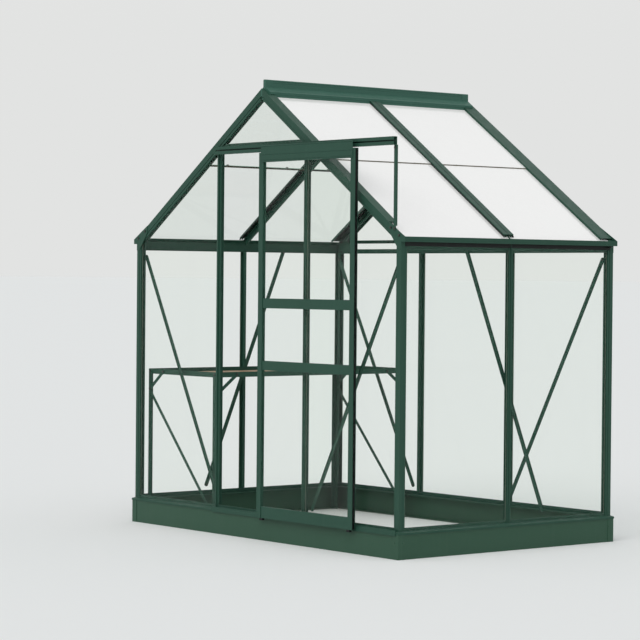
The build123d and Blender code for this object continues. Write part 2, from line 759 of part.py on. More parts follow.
# Roof glass: one sheet in each bay, from the gutter to the ridge board
roof_glass_top = slope_length - roof_glass_gap
with BuildPart() as roof_glass_right:
    with BuildSketch(roof_plane(1, -glass_thickness)):
        rectangle_between(-bay_end, -pane_edge, -roof_glass_overhang, roof_glass_top)
        rectangle_between(pane_edge, bay_end, -roof_glass_overhang, roof_glass_top)
    extrude(amount=glass_thickness)
finish(roof_glass_right.part, "roof_glass_right")

with BuildPart() as roof_glass_left:
    add(roof_glass_right.part.mirror(Plane.YZ))
finish(roof_glass_left.part, "roof_glass_left")

# Sliding door: stiles, rails and three panes, hung on two rollers in the track. Each stile
# has a groove for the glass inside and an open channel for the draught strip outside.
door_right = door_left + door_width
door_back = -half_length - track_depth
door_front = door_back - door_depth
door_inner_left = door_left + door_stile
door_inner_right = door_right - door_stile
door_glass_y = (door_front + door_back) / 2
groove = glass_thickness
stile_top = track_bottom - door_gap


def hollow_section(width, depth):
    """Box section about the sketch's origin."""
    Rectangle(width, depth)
    Rectangle(width - 2 * door_glass_bite - 2 * metal, depth - 2 * metal, mode=Mode.SUBTRACT)


with BuildPart() as door_stiles:
    with BuildSketch(Plane(origin=(0, door_glass_y, door_bottom))):
        with Locations((door_left + door_stile / 2, 0), (door_right - door_stile / 2, 0)):
            hollow_section(door_stile, door_depth)
        with Locations((door_inner_left, 0), (door_inner_right, 0)):
            Rectangle(2 * door_glass_bite, groove, mode=Mode.SUBTRACT)
        with Locations((door_left, 0), (door_right, 0)):
            Rectangle(2 * door_glass_bite, door_depth - 2 * metal, mode=Mode.SUBTRACT)
    extrude(amount=stile_top - door_bottom)
finish(door_stiles.part, "door_stiles")

rail_run = Plane(origin=(door_inner_left, door_glass_y, 0), x_dir=(0, 1, 0), z_dir=(1, 0, 0))
rail_length = door_inner_right - door_inner_left
rail_depth = door_depth - 2 * metal


def door_rail(bottom, height, grooves):
    """Rail between the stiles, with a glass groove at each named height."""
    with BuildPart() as rail:
        with BuildSketch(rail_run):
            with Locations((0, bottom + height / 2)):
                Rectangle(rail_depth, height)
                Rectangle(rail_depth - 2 * metal, height - 2 * door_glass_bite - 2 * metal,
                          mode=Mode.SUBTRACT)
            with Locations(*[(0, level) for level in grooves]):
                Rectangle(groove, 2 * door_glass_bite, mode=Mode.SUBTRACT)
        extrude(amount=rail_length)
    return rail.part


lower_rail_top = lower_rail_bottom + lower_rail_height
upper_rail_top = upper_rail_bottom + upper_rail_height
with BuildPart() as door_rail_lower:
    add(door_rail(lower_rail_bottom, lower_rail_height, (lower_rail_bottom, lower_rail_top)))
finish(door_rail_lower.part, "door_rail_lower")

with BuildPart() as door_rail_upper:
    add(door_rail(upper_rail_bottom, upper_rail_height, (upper_rail_bottom, upper_rail_top)))
finish(door_rail_upper.part, "door_rail_upper")

with BuildPart() as door_foot_rail:
    add(door_rail(door_bottom, door_bottom_rail, (door_bottom + door_bottom_rail,)))
finish(door_foot_rail.part, "door_foot_rail")

# Door header: a plate in front of the stiles and the track, on a rail that holds the top pane
header_plate_left = door_left + door_stile / 2
header_plate_right = door_right - door_stile / 2
with BuildPart() as door_header:
    with BuildSketch(rail_run):
        with Locations((0, door_header_bottom)):
            Rectangle(door_depth, 2 * door_glass_bite, align=(Align.CENTER, Align.MIN))
            Rectangle(groove, 2 * door_glass_bite, mode=Mode.SUBTRACT)
    extrude(amount=rail_length)
    with BuildSketch(Plane.XZ.offset(-door_front)):
        rectangle_between(header_plate_left, header_plate_right, door_header_bottom, door_header_top)
    extrude(amount=door_header_plate)
finish(door_header.part, "door_header")

with BuildPart() as door_glass:
    with BuildSketch(Plane(origin=(0, door_glass_y + glass_thickness / 2, 0), x_dir=(1, 0, 0),
                           z_dir=(0, -1, 0))):
        glass_left_edge = door_inner_left - door_glass_bite
        glass_right_edge = door_inner_right + door_glass_bite
        rectangle_between(glass_left_edge, glass_right_edge,
                          door_bottom + door_bottom_rail - door_glass_bite,
                          lower_rail_bottom + door_glass_bite)
        rectangle_between(glass_left_edge, glass_right_edge, lower_rail_top - door_glass_bite,
                          upper_rail_bottom + door_glass_bite)
        rectangle_between(glass_left_edge, glass_right_edge, upper_rail_top - door_glass_bite,
                          door_header_bottom + door_glass_bite)
    extrude(amount=glass_thickness)
finish(door_glass.part, "door_glass")

# Rollers in the track, on axles through its slot, and guide shoes under the door
roller_height = track_bottom + metal + roller_radius + running_gap
roller_y = -half_length - track_depth / 2
with BuildPart() as door_rollers:
    with BuildSketch(Plane.XZ.offset(-roller_y - roller_width / 2)):
        with Locations((door_left + roller_inset, roller_height),
                       (door_right - roller_inset, roller_height)):
            Circle(roller_radius)
    extrude(amount=roller_width)
    with BuildSketch(Plane.XZ.offset(-roller_y)):
        with Locations((door_left + roller_inset, roller_height),
                       (door_right - roller_inset, roller_height)):
            Circle(axle_radius)
    extrude(amount=roller_y - door_front)
finish(door_rollers.part, "door_rollers")

with BuildPart() as door_shoes:
    with BuildSketch(Plane.XY.offset(door_bottom - shoe_height)):
        with Locations((door_left + door_stile, door_glass_y), (door_right - door_stile, door_glass_y)):
            Rectangle(shoe_size, rail_depth)
    extrude(amount=shoe_height)
finish(door_shoes.part, "door_shoes")

# Staging along the left wall: angle frame, legs, braces and slats
staging_left = -half_width + bar_depth + brace_thickness
staging_right = staging_left + staging_width
staging_mid = (staging_left + staging_right) / 2
staging_length = frame_length - 2 * staging_end_gap
staging_half = staging_length / 2
rail_bottom = staging_height - staging_rail
with BuildPart() as staging_frame:
    with BuildSketch(Plane.XY.offset(rail_bottom)):
        with Locations((staging_mid, 0)):
            Rectangle(staging_width, staging_length)
            Rectangle(staging_width - 2 * staging_sheet, staging_length - 2 * staging_sheet,
                      mode=Mode.SUBTRACT)
    extrude(amount=staging_rail)
    with BuildSketch(Plane.XY.offset(rail_bottom)):
        with Locations((staging_mid, 0)):
            Rectangle(staging_width, staging_length)
            Rectangle(staging_width - 2 * staging_rail, staging_length - 2 * staging_rail,
                      mode=Mode.SUBTRACT)
    extrude(amount=staging_sheet)
finish(staging_frame.part, "staging_frame")

slat_room = staging_width - 2 * staging_sheet - slat_gap
slat_pitch = slat_room / slat_count
slat_base = rail_bottom + staging_sheet
slat_length = staging_length - 2 * (staging_sheet + slat_end_gap)
with BuildPart() as staging_slats:
    with BuildSketch(Plane.XY.offset(slat_base)):
        with Locations((staging_mid, 0)):
            with GridLocations(slat_pitch, 1, slat_count, 1):
                Rectangle(slat_pitch - slat_gap, slat_length)
    extrude(amount=slat_thickness)
finish(staging_slats.part, "staging_slats")

with BuildPart() as staging_legs:
    with BuildSketch():
        with Locations((staging_right, -staging_half)):
            Rectangle(staging_rail, staging_rail, align=(Align.MAX, Align.MIN))
        with Locations((staging_right - staging_sheet, -staging_half + staging_sheet)):
            Rectangle(staging_rail, staging_rail, align=(Align.MAX, Align.MIN), mode=Mode.SUBTRACT)
    extrude(amount=rail_bottom)
    mirror(about=Plane.YZ.offset(staging_mid))
    mirror(about=Plane.XZ)
finish(staging_legs.part, "staging_legs")

end_brace_plane = Plane(origin=(0, -staging_half + staging_sheet, 0), x_dir=(1, 0, 0), z_dir=(0, -1, 0))
with BuildPart() as staging_braces:
    leg_centre = staging_rail / 2
    add(brace_between(end_brace_plane.offset(-staging_sheet),
                      (staging_left + leg_centre, staging_height - staging_brace_top),
                      (staging_right - leg_centre, staging_brace_foot),
                      staging_brace_width, staging_sheet))
    mirror(about=Plane.XZ)
finish(staging_braces.part, "staging_braces")

# Staging knees: short braces from the legs up to the rails, outside the angles
side_knee_plane = Plane(origin=(staging_right, 0, 0), x_dir=(0, 1, 0), z_dir=(1, 0, 0))
end_knee_plane = Plane(origin=(0, -staging_half, 0), x_dir=(1, 0, 0), z_dir=(0, -1, 0))
knee_top = staging_height - leg_centre
with BuildPart() as staging_knees:
    add(brace_between(end_knee_plane, (staging_left + leg_centre, knee_top - knee_drop),
                      (staging_left + knee_run, knee_top), staging_brace_width, staging_sheet))
    add(brace_between(side_knee_plane, (-staging_half + leg_centre, knee_top - knee_drop),
                      (-staging_half + knee_run, knee_top), staging_brace_width, staging_sheet))
    mirror(about=Plane.XZ)
finish(staging_knees.part, "staging_knees")
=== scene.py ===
from math import atan2, cos, pi, radians, sin, tan

import bmesh
import bpy
from mathutils import Matrix, Vector


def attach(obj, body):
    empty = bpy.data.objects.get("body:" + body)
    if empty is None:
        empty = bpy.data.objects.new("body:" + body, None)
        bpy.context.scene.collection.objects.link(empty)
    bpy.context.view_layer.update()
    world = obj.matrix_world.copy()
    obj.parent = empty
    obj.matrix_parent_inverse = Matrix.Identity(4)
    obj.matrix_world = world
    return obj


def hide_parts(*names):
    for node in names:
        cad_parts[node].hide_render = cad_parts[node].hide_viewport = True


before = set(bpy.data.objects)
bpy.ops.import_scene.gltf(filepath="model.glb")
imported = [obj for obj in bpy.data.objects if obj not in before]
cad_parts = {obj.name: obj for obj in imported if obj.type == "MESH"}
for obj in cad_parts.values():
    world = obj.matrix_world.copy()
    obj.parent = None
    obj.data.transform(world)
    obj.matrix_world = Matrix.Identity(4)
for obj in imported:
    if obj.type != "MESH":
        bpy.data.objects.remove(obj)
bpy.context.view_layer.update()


# Plinth: channels folded from 2 mm galvanised steel and powder coated green. The rails meet in
# mitres at the corners, under folded corner angles, and stand flat on the ground.


def linear(code):
    """sRGB hex colour as linear red, green, blue and alpha."""
    parts = [int(code[i:i + 2], 16) / 255 for i in (1, 3, 5)]
    return [c / 12.92 if c <= 0.04045 else ((c + 0.055) / 1.055) ** 2.4 for c in parts] + [1.0]


def add(tree, kind, inputs=None, **settings):
    """Adds a node to a tree with its settings, and sets or links its inputs."""
    made = tree.nodes.new(kind)
    for name, value in settings.items():
        setattr(made, name, value)
    for name, value in (inputs or {}).items():
        if isinstance(value, bpy.types.NodeSocket):
            tree.links.new(value, made.inputs[name])
        else:
            made.inputs[name].default_value = value
    return made


def new_finish(name):
    """A new material, its tree, its shader and the Object coordinates that place its patterns."""
    made = bpy.data.materials.new(name)
    made.use_nodes = True
    tree = made.node_tree
    place = add(tree, "ShaderNodeTexCoord").outputs["Object"]
    return made, tree, tree.nodes["Principled BSDF"], place


def weathered_skin(name, fresh, faded, dust, peel=3.0):
    """A satin coat or moulding outdoors: faded patches, rain streaks, dust on top, orange peel."""
    made, tree, shader, place = new_finish(name)
    # Fading in patches about 250 mm wide
    patches = add(tree, "ShaderNodeTexNoise", {"Vector": place, "Scale": 1 / 0.25, "Detail": 4.0})
    tone = add(tree, "ShaderNodeMix",
               {0: patches.outputs["Fac"], 6: linear(fresh), 7: linear(faded)}, data_type="RGBA")
    # Streaks left by rain, 30 mm wide and 400 mm long
    stretched = add(tree, "ShaderNodeMapping",
                    {"Vector": place, "Scale": (1 / 0.03, 1 / 0.03, 1 / 0.4)})
    streaks = add(tree, "ShaderNodeTexNoise", {"Vector": stretched.outputs[0], "Scale": 1.0})
    washed = add(tree, "ShaderNodeMapRange", {"Value": streaks.outputs["Fac"], "From Min": 0.55,
                                              "From Max": 0.8, "To Max": 0.08})
    rained = add(tree, "ShaderNodeMix",
                 {0: washed.outputs[0], 6: tone.outputs[2], 7: linear("#5d7365")}, data_type="RGBA")
    # Dust settles where the surface faces up, in blots about 30 mm wide
    normal = add(tree, "ShaderNodeNewGeometry").outputs["Normal"]
    facing = add(tree, "ShaderNodeSeparateXYZ", {0: normal}).outputs["Z"]
    blots = add(tree, "ShaderNodeTexNoise", {"Vector": place, "Scale": 1 / 0.03, "Detail": 5.0})
    settled = add(tree, "ShaderNodeMath", {0: facing, 1: blots.outputs["Fac"]},
                  operation="MULTIPLY")
    share = add(tree, "ShaderNodeMapRange", {"Value": settled.outputs[0], "From Min": 0.15,
                                             "From Max": 0.75, "To Max": dust})
    dusty = add(tree, "ShaderNodeMix",
                {0: share.outputs[0], 6: rained.outputs[2], 7: linear("#8d9284")}, data_type="RGBA")
    # The sheen is dulled in the same streaks
    sheen = add(tree, "ShaderNodeMapRange", {"Value": streaks.outputs["Fac"], "From Min": 0.3,
                                             "From Max": 0.7, "To Min": 0.36, "To Max": 0.5})
    # Orange peel, or a moulding's grain, is about 1 mm wide, and is drawn coarser to show
    grain = add(tree, "ShaderNodeTexNoise", {"Vector": place, "Scale": 1000 / peel, "Detail": 2.0})
    bump = add(tree, "ShaderNodeBump", {"Height": grain.outputs["Fac"], "Distance": 0.0002,
                                        "Strength": 0.25})
    tree.links.new(dusty.outputs[2], shader.inputs["Base Color"])
    tree.links.new(sheen.outputs[0], shader.inputs["Roughness"])
    tree.links.new(bump.outputs[0], shader.inputs["Normal"])
    shader.inputs["Specular IOR Level"].default_value = 0.2
    return made


def dress(finish, *names):
    """Gives solids from the frame their finish."""
    for name in names:
        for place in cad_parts[name].material_slots:
            place.material = finish


# On the folded steel the coat is a shade lighter, with a coarse peel and splashed dust
coated_steel = weathered_skin("powder-coated galvanised steel", "#31513f", "#365645",
                              dust=0.15, peel=5.0)
dress(coated_steel, "plinth_front", "plinth_back", "plinth_sides", "plinth_corners")

# Sill rails, corner posts and glazing bars: extruded aluminium, powder coated the same green.
# The sill is screwed to the plinth, and posts and bars stand in it behind its upstand. On these
# smooth sections the coat is a deep even green with a soft sheen.
coated_aluminium = weathered_skin("powder-coated aluminium", "#26483a", "#2a4e40", dust=0.04)
dress(coated_aluminium, "sill_front", "sill_back", "sill_sides", "corner_posts_front",
      "corner_posts_back", "side_bars", "door_jambs", "back_bars")

# Eaves beams: one aluminium extrusion each side, with the seat for the roof bars, a ribbed web
# behind the wall glass and the gutter outside. The gutter runs past the posts to the plates.
half_width, half_length = 965.0, 630.0
eaves_height, apex_height = 1346.0, 2009.0
roof_angle = atan2(apex_height - eaves_height, half_width)
wall = 2.5
# Across the gable, from front to back along the ridge, and up
across, back, up = Vector((1, 0, 0)), Vector((0, 1, 0)), Vector((0, 0, 1))


def roof_height(x, lift=0.0):
    """Height of the roof glass's outer face at x, or of a plane lifted off it, in mm."""
    return apex_height - abs(x) * tan(roof_angle) + lift / cos(roof_angle)


def extrusion(shape, outline, start, end, sideways, outward):
    """Adds a straight length of a section to a mesh: its outline is in mm, sideways and outward."""
    first, last = ([shape.verts.new((place + u * sideways + v * outward) / 1000) for u, v in outline]
                   for place in (Vector(start), Vector(end)))
    sides = len(outline)
    for i in range(sides):
        j = (i + 1) % sides
        shape.faces.new((first[i], first[j], last[j], last[i]))
    shape.faces.new(first[::-1])
    shape.faces.new(last)


def grooved(face, low, high, depth, slope=0.6):
    """Outline points of a groove in an upright face, or of a rib where its depth is negative."""
    return [(face, low), (face - depth, low + slope), (face - depth, high - slope), (face, high)]


def solid(name, shape):
    """A mesh as an object at the origin, with its faces turned outward."""
    bmesh.ops.recalc_face_normals(shape, faces=shape.faces)
    mesh = bpy.data.meshes.new(name)
    shape.to_mesh(mesh)
    shape.free()
    return bpy.data.objects.new(name, mesh)


def fit(name, shape, finishes, body, slot, *replaced):
    """Turns a mesh into a piece that rides on a body, and stands for the nodes that it replaces."""
    piece = solid(name, shape)
    for finish in finishes:
        piece.data.materials.append(finish)
    bpy.context.scene.collection.objects.link(piece)
    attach(piece, body)
    if replaced:
        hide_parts(*replaced)


gutter_reach, gutter_floor, gutter_top = 24.0, 1330.0, 1352.0
web_face, web_back, beam_bottom = -6.0, -8.5, 1300.0
flange_end, seat_end, seat_drop = -21.5, -27.5, 5.5
line_depth = 0.8
post_width = 36.0
beam_half = half_length - post_width
gutter_face = ([(gutter_reach, gutter_floor)]
               + grooved(gutter_reach, gutter_floor + 4.0, gutter_floor + 9.6, line_depth)
               + grooved(gutter_reach, gutter_floor + 11.4, gutter_top - 3.4, line_depth)
               + [(gutter_reach, gutter_top), (gutter_reach - wall, gutter_top),
                  (gutter_reach - wall, gutter_floor + wall)])
web_ribs = (grooved(web_face, beam_bottom, beam_bottom + 4.0, -line_depth)
            + grooved(web_face, beam_bottom + 15.0, beam_bottom + 18.0, -line_depth, 0.5))
web_top, seat_low, web_bend = (roof_height(half_width + x, -seat_drop)
                               for x in (web_face, seat_end, web_back))
beam = ([(flange_end, beam_bottom)] + web_ribs + [(web_face, gutter_floor)] + gutter_face
        + [(web_face, gutter_floor + wall), (web_face, web_top), (seat_end, seat_low),
           (seat_end, seat_low - wall), (web_back, web_bend - wall),
           (web_back, beam_bottom + wall), (flange_end, beam_bottom + wall)])
tail = [(0.0, gutter_floor)] + gutter_face + [(0.0, gutter_floor + wall)]
for side, word in ((-1, "left"), (1, "right")):
    outward = side * across
    shape = bmesh.new()
    extrusion(shape, beam, (side * half_width, -beam_half, 0), (side * half_width, beam_half, 0),
              outward, up)
    for end in (-1, 1):
        extrusion(shape, tail, (side * half_width, end * beam_half, 0),
                  (side * half_width, end * half_length, 0), outward, up)
    fit("beam_with_gutter_" + word, shape, [coated_aluminium], "frame", "frame_metal",
        "eaves_" + word)

# Rafters, roof bars and plates, all of coated aluminium: the rafters are corner sections laid
# along the slope, under a folded cover. The bars carry the glass, and their caps hold it down.
dress(coated_aluminium, "rafters_front", "rafters_back", "roof_bars", "eaves_plates",
      "gable_header", "back_tie")


# Rear rafter covers: a wider cover, folded from coated aluminium, lies over each rear rafter from
# under the ridge down to the gutter. It laps further over the glass than the front ones do.


def slope_frame(side):
    """Foot of a slope in mm, with its upward, lengthwise and outward directions."""
    foot = Vector((side * half_width, 0, eaves_height))
    rising = Vector((-side * cos(roof_angle), 0, sin(roof_angle)))
    outward = Vector((side * sin(roof_angle), 0, cos(roof_angle)))
    return foot, rising, outward


cover_start, cover_stop = 18.0, 1148.0
cover_width, cover_top, lid_under = 69.0, 10.4, 7.6
inner_rim, outer_rim, overhang = 0.4, 3.2, 1.5
cover = [(-overhang, outer_rim), (0.0, outer_rim), (0.0, lid_under), (cover_width - wall, lid_under),
         (cover_width - wall, inner_rim), (cover_width, inner_rim), (cover_width, cover_top),
         (-overhang, cover_top)]
shape = bmesh.new()
for side in (-1, 1):
    foot, rising, outward = slope_frame(side)
    low_end, high_end = (foot + half_length * back + reach * rising
                         for reach in (cover_start, cover_stop))
    extrusion(shape, cover, low_end, high_end, -back, outward)
fit("rear_rafter_covers", shape, [coated_aluminium], "frame", "frame_metal")


# Ridge: an extruded aluminium cover with fine lines along its faces, on a web over the ridge
# board. Both ends are closed with moulded caps 40 mm long, in the same green, and an apron in
# each bay hangs down to the glass.
ridge_half, cap_start, ridge_top = 614.0, 574.0, 2062.0
ridge_reach, ridge_neck, flank_lift = 42.0, 8.0, 20.0
cover_foot, cap_foot = 12.0, 10.0
# Painted light: the coat on the ridge is a paler green than on the rest of the frame, for the
# light that falls on the top. The moulded caps match it.
paler_lit_aluminium = weathered_skin("powder-coated aluminium, painted paler for top light", "#365d50", "#3b6556", dust=0.04)
moulded_green = weathered_skin("moulded green polypropylene", "#365d50", "#3b6556",
                               dust=0.04, peel=2.0)


def over_roof(*points):
    """Outline points given by their x and their lift off the roof's plane."""
    return [(x, roof_height(x, lift)) for x, lift in points]


def oblong(left, low, right, high):
    """Outline of a flat bar."""
    return [(left, low), (right, low), (right, high), (left, high)]


def ridge_side(inset, foot, line):
    """Right half of the ridge's outline from its foot up, with lines of the given depth."""
    reach, neck, top = ridge_reach - inset, ridge_neck - inset, ridge_top - inset
    flank = flank_lift - inset
    rim = over_roof((reach, foot))
    if not line:
        return rim + over_roof((reach, flank), (neck, flank)) + [(neck, top - 3), (neck - 3, top)]
    lip, shoulder, throat = (roof_height(x, lift)
                             for x, lift in ((reach, foot), (reach, flank), (neck, flank)))
    return (rim + grooved(reach, lip + 2.2, shoulder - 1.6, line)
            + over_roof((reach, flank), (reach - 10, flank), (reach - 10.5, flank - line),
                        (reach - 12.5, flank - line), (reach - 13, flank), (neck, flank))
            + grooved(neck, throat + 4.0, top - 14.0, line)
            + grooved(neck, top - 9.5, top - 5.7, 1.6, 0.3) + [(neck, top - 4), (neck - 3, top)])


def ridge_shell(line):
    """Closed outline of the cover's wall, open below."""
    outer, inner = ridge_side(0, cover_foot, line), ridge_side(wall, cover_foot, 0)
    return (outer + [(-x, z) for x, z in reversed(outer)]
            + [(-x, z) for x, z in inner] + inner[::-1])


board_half, board_head = 4.0, 10.0
board_foot = roof_height(board_half, -17)
board = [(-board_half, board_foot), (board_half, board_foot)] + over_roof(
    (board_half, board_head), (0, board_head), (-board_half, board_head))
board_low, board_inset = apex_height - 38, 6
apron_head, apron_foot, bay_near, bay_far = 14.0, 0.4, 29.0, 583.0
apron_face = ridge_reach - wall
apron = over_roof((apron_face, apron_foot), (apron_face, apron_head),
                  (apron_face - wall, apron_head), (apron_face - wall, apron_foot))
shape = bmesh.new()
for outline, reach in ((ridge_shell(1.0), cap_start),
                       (oblong(-wall / 2, apex_height, wall / 2, ridge_top - 1), cap_start),
                       (board, half_length),
                       (oblong(-board_half, board_low, board_half, board_foot + 1),
                        half_length - board_inset)):
    extrusion(shape, outline, (0, -reach, 0), (0, reach, 0), across, up)
for side in (-1, 1):
    for low_y, high_y in ((-bay_far, -bay_near), (bay_near, bay_far)):
        extrusion(shape, apron, (0, low_y, 0), (0, high_y, 0), side * across, up)
fit("ridge_cover", shape, [paler_lit_aluminium], "frame", "frame_metal", "ridge")
plate = ridge_side(0, cap_foot, 0)
plate = plate + [(-x, z) for x, z in reversed(plate)] + over_roof((0, cap_foot))
shape = bmesh.new()
for end in (-1, 1):
    low_y, plate_y, high_y = (end * y for y in (cap_start, ridge_half - wall, ridge_half))
    extrusion(shape, ridge_shell(0), (0, low_y, 0), (0, plate_y, 0), across, up)
    extrusion(shape, plate, (0, plate_y, 0), (0, high_y, 0), across, up)
fit("ridge_end_caps", shape, [moulded_green], "frame", "frame_metal")


# Bolts: 6 mm cropped-head aluminium bolts with hexagon nuts and washers, left bare and dulled by
# the weather. They hold the plates, the braces, the tie and the staging.


def repeated(name, part, spots, finish, body, spare_turn=0.0, seed=0):
    """Copies a small part to every spot, given as (place, outward, along), as one plain mesh."""
    tree = bpy.data.node_groups.new(name + " places", "GeometryNodeTree")
    tree.interface.new_socket("Geometry", in_out="INPUT", socket_type="NodeSocketGeometry")
    tree.interface.new_socket("Geometry", in_out="OUTPUT", socket_type="NodeSocketGeometry")
    sockets = [tree.interface.new_socket(label, in_out="INPUT", socket_type=kind)
               for label, kind in (("Part", "NodeSocketObject"), ("Finish", "NodeSocketMaterial"),
                                   ("Spare turn", "NodeSocketFloat"), ("Seed", "NodeSocketInt"))]
    given = add(tree, "NodeGroupInput").outputs
    outward = add(tree, "GeometryNodeInputNamedAttribute", {"Name": "outward"},
                  data_type="FLOAT_VECTOR")
    along = add(tree, "GeometryNodeInputNamedAttribute", {"Name": "along"},
                data_type="FLOAT_VECTOR")
    stood = add(tree, "FunctionNodeAlignRotationToVector",
                {"Vector": outward.outputs["Attribute"]}, axis="Z")
    laid = add(tree, "FunctionNodeAlignRotationToVector",
               {"Rotation": stood.outputs[0], "Vector": along.outputs["Attribute"]},
               axis="X", pivot_axis="Z")
    # Each copy is turned about its own axis by up to the spare turn, either way
    least = add(tree, "ShaderNodeMath", {0: given["Spare turn"], 1: -1.0}, operation="MULTIPLY")
    spare = add(tree, "FunctionNodeRandomValue",
                {2: least.outputs[0], 3: given["Spare turn"], "Seed": given["Seed"]},
                data_type="FLOAT")
    euler = add(tree, "ShaderNodeCombineXYZ", {"Z": spare.outputs[1]})
    spun = add(tree, "FunctionNodeRotateRotation",
               {"Rotation": laid.outputs[0], "Rotate By": euler.outputs[0]}, rotation_space="LOCAL")
    piece = add(tree, "GeometryNodeObjectInfo", {"Object": given["Part"], "As Instance": True})
    set_out = add(tree, "GeometryNodeInstanceOnPoints",
                  {"Points": given["Geometry"], "Instance": piece.outputs["Geometry"],
                   "Rotation": spun.outputs[0]})
    real = add(tree, "GeometryNodeRealizeInstances", {"Geometry": set_out.outputs[0]})
    painted = add(tree, "GeometryNodeSetMaterial",
                  {"Geometry": real.outputs[0], "Material": given["Finish"]})
    add(tree, "NodeGroupOutput", {"Geometry": painted.outputs[0]})

    points = bpy.data.meshes.new(name + " points")
    points.from_pydata([Vector(place) / 1000 for place, _, _ in spots], [], [])
    for label, column in (("outward", 1), ("along", 2)):
        values = points.attributes.new(label, "FLOAT_VECTOR", "POINT")
        values.data.foreach_set("vector", [c for spot in spots for c in spot[column]])
    holder = bpy.data.objects.new(name + "_points", points)
    bpy.context.scene.collection.objects.link(holder)
    bpy.context.scene.collection.objects.link(part)
    modifier = holder.modifiers.new("places", "NODES")
    modifier.node_group = tree
    for socket, value in zip(sockets, (part, finish, spare_turn, seed)):
        modifier[socket.identifier] = value
    seen = holder.evaluated_get(bpy.context.evaluated_depsgraph_get())
    mesh = bpy.data.meshes.new_from_object(seen)
    mesh.name = name
    holder.modifiers.remove(modifier)
    bpy.data.objects.remove(holder)
    bpy.data.objects.remove(part)
    made = bpy.data.objects.new(name, mesh)
    bpy.context.scene.collection.objects.link(made)
    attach(made, body)
    return made


def stack(*steps):
    """A turned or hexagonal part: (sides, lower radius, upper radius, foot, top) steps in mm."""
    shape = bmesh.new()
    for sides, low, high, foot, top in steps:
        bmesh.ops.create_cone(shape, cap_ends=True, segments=sides, radius1=low / 1000,
                              radius2=high / 1000, depth=(top - foot) / 1000,
                              matrix=Matrix.Translation((0, 0, (foot + top) / 2000)))
    return shape


def bare_metal(name, code, dulled, rough, grain_mm):
    """Bare aluminium: metallic, dulled by oxide in 20 mm blots, finely scratched."""
    made, tree, shader, place = new_finish(name)
    blots = add(tree, "ShaderNodeTexNoise", {"Vector": place, "Scale": 1 / 0.02, "Detail": 5.0})
    tone = add(tree, "ShaderNodeMix",
               {0: blots.outputs["Fac"], 6: linear(code), 7: linear(dulled)}, data_type="RGBA")
    # The scratches are far finer on the real metal, and are drawn coarser so that they show
    fine = add(tree, "ShaderNodeTexNoise",
               {"Vector": place, "Scale": 1000 / grain_mm, "Detail": 3.0})
    sheen = add(tree, "ShaderNodeMapRange", {"Value": fine.outputs["Fac"], "To Min": rough - 0.1,
                                             "To Max": rough + 0.15})
    bump = add(tree, "ShaderNodeBump", {"Height": fine.outputs["Fac"], "Distance": 0.0001,
                                        "Strength": 0.3})
    shader.inputs["Metallic"].default_value = 0.8
    tree.links.new(tone.outputs[2], shader.inputs["Base Color"])
    tree.links.new(sheen.outputs[0], shader.inputs["Roughness"])
    tree.links.new(bump.outputs[0], shader.inputs["Normal"])
    return made


# Oxide has turned the bolts a dark dull grey that hardly glints
weathered_aluminium = bare_metal("weathered aluminium bolts", "#5f655f", "#3d423d",
                                 rough=0.5, grain_mm=2.0)
nut_and_washer = ((14, 6.5, 6.5, 0, 1.0), (6, 5.6, 5.6, 1.0, 3.4), (6, 5.6, 4.8, 3.4, 3.8),
                  (8, 2.9, 2.6, 3.8, 5.4))
plate_bolts, plate_face = ((952, 1357), (898, 1390)), half_length + 2
brace_lip, brace_depth, brace_width = 30.0, 4.0, 20.0
gable_brace_ends = [(931.0, 1269.0), (347.0, 162.0)]
side_brace_ends = [(-232.0, 1300.0), (232.0, 162.0)]
brace_floor = brace_lip + brace_depth
spots = []
for end in (-1, 1):
    gable = end * back
    for side in (-1, 1):
        spots += [((side * x, end * plate_face, z), gable, across) for x, z in plate_bolts]
        spots += [((side * x, end * (half_length - brace_floor), z), -gable, across)
                  for x, z in gable_brace_ends]
tie_bolts_x, tie_face = (915, 850), half_length - 32.5
tie_bolts_z = (beam_bottom + 11, beam_bottom + 58)
for side in (-1, 1):
    spots += [((side * (half_width - brace_floor), side * y, z), -side * across, back)
              for y, z in side_brace_ends]
    spots += [((side * x, tie_face, z), -back, across) for x in tie_bolts_x for z in tie_bolts_z]
support_x, support_bolts, support_face = 925, (1386, 1724), -half_length - 4.5
spots += [((support_x, support_face, z), -back, across) for z in support_bolts]
staging_left, staging_right, staging_end, shelf = -931.0, -391.0, 580.0, 735.0
angle_middle, angle_wall, leg_bolt, rail_bolt = 12, 2, 97, 120
rail_z, leg_z = shelf - angle_middle, shelf - leg_bolt
for end in (-1, 1):
    post_y, strut_y = end * (staging_end - angle_middle), end * (staging_end + angle_wall)
    spots += [((x, end * staging_end, rail_z), end * back, across)
              for x in (staging_left + angle_middle, staging_right - angle_middle)]
    spots += [((staging_right, post_y, rail_z), across, back),
              ((staging_left + angle_middle, strut_y, leg_z), end * back, across),
              ((staging_left + rail_bolt, strut_y, rail_z), end * back, across),
              ((staging_right + angle_wall, post_y, leg_z), across, back),
              ((staging_right + angle_wall, end * (staging_end - rail_bolt), rail_z), across, back)]
repeated("frame_bolts", solid("bolt", stack(*nut_and_washer)), spots, weathered_aluminium,
         "frame", spare_turn=0.5, seed=3)

# Plinth screws: low dome-headed steel screws, coated with the plinth, hold the corner angles to
# the rails. Their heads are flat enough to clear the sill's lip.
dome_head = ((12, 5.2, 4.6, 0, 0.9), (12, 4.6, 2.4, 0.9, 1.7))
plinth_side, plinth_end, screw_inset, screw_z = 975, 640, 27, 70
spots = []
for side in (-1, 1):
    for end in (-1, 1):
        spots += [((side * plinth_side, end * (plinth_end - screw_inset), screw_z),
                   side * across, back),
                  ((side * (plinth_side - screw_inset), end * plinth_end, screw_z),
                   end * back, across)]
repeated("plinth_screws", solid("screw", stack(*dome_head)), spots, coated_steel,
         "frame", spare_turn=0.5, seed=4)


